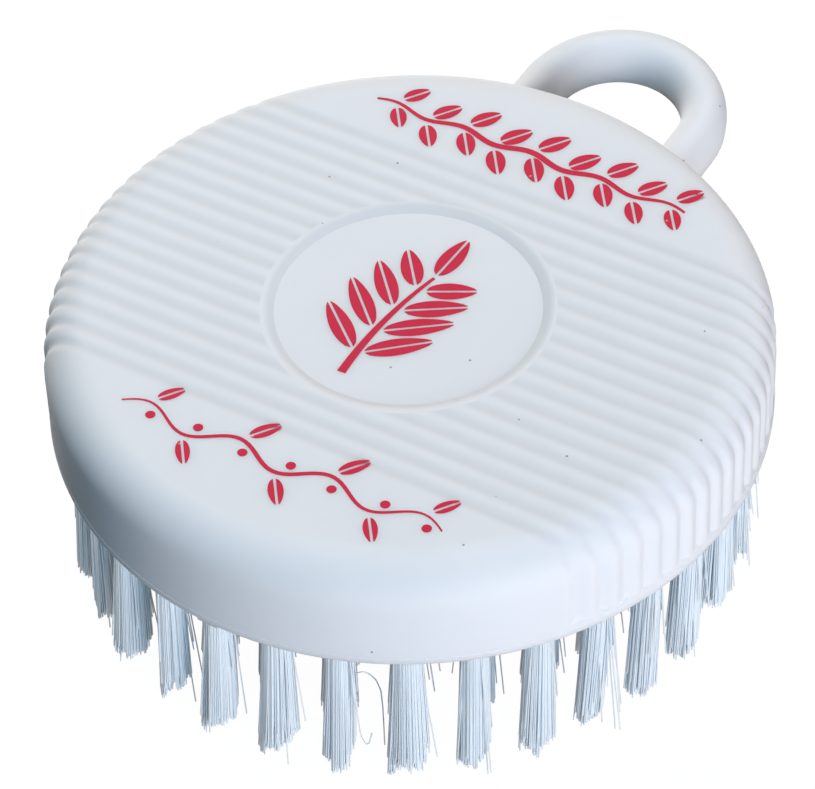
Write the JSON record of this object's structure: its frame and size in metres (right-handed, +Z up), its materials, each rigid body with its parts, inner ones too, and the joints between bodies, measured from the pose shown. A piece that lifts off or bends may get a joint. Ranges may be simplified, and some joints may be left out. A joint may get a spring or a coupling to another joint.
{
  "type": "mushroom brush",
  "caption": "Small round cleaning brush with a ribbed plastic block, a hanging loop on its side and rings of pale nylon bristle tufts.",
  "frame": {"origin": "on the axis of the round block, at the trimmed plane of the bristle tips, which the brush stands on", "axes": "+Z up out of the ribbed top, +Y from the axis towards the hanging loop, X along the gripping ribs"},
  "size_m": [0.058, 0.0733, 0.025],
  "materials": {
    "white_plastic": "semi-gloss moulded white polypropylene",
    "nylon_bristle": "translucent pale nylon filament"
  },
  "bodies": {
    "root": {"block": "white_plastic", "tuft_01": "nylon_bristle", "tuft_02": "nylon_bristle", "tuft_03": "nylon_bristle", "tuft_04": "nylon_bristle", "tuft_05": "nylon_bristle", "tuft_06": "nylon_bristle", "tuft_07": "nylon_bristle", "tuft_08": "nylon_bristle", "tuft_09": "nylon_bristle", "tuft_10": "nylon_bristle", "tuft_11": "nylon_bristle", "tuft_12": "nylon_bristle", "tuft_13": "nylon_bristle", "tuft_14": "nylon_bristle", "tuft_15": "nylon_bristle", "tuft_16": "nylon_bristle", "tuft_17": "nylon_bristle", "tuft_18": "nylon_bristle", "tuft_19": "nylon_bristle", "tuft_20": "nylon_bristle", "tuft_21": "nylon_bristle", "tuft_22": "nylon_bristle", "tuft_23": "nylon_bristle", "tuft_24": "nylon_bristle", "tuft_25": "nylon_bristle", "tuft_26": "nylon_bristle", "tuft_27": "nylon_bristle", "tuft_28": "nylon_bristle", "tuft_29": "nylon_bristle", "tuft_30": "nylon_bristle", "tuft_31": "nylon_bristle", "tuft_32": "nylon_bristle", "tuft_ring_2": "nylon_bristle", "tuft_ring_3": "nylon_bristle", "tuft_ring_4": "nylon_bristle", "tuft_core": "nylon_bristle"}
  },
  "joints": []
}
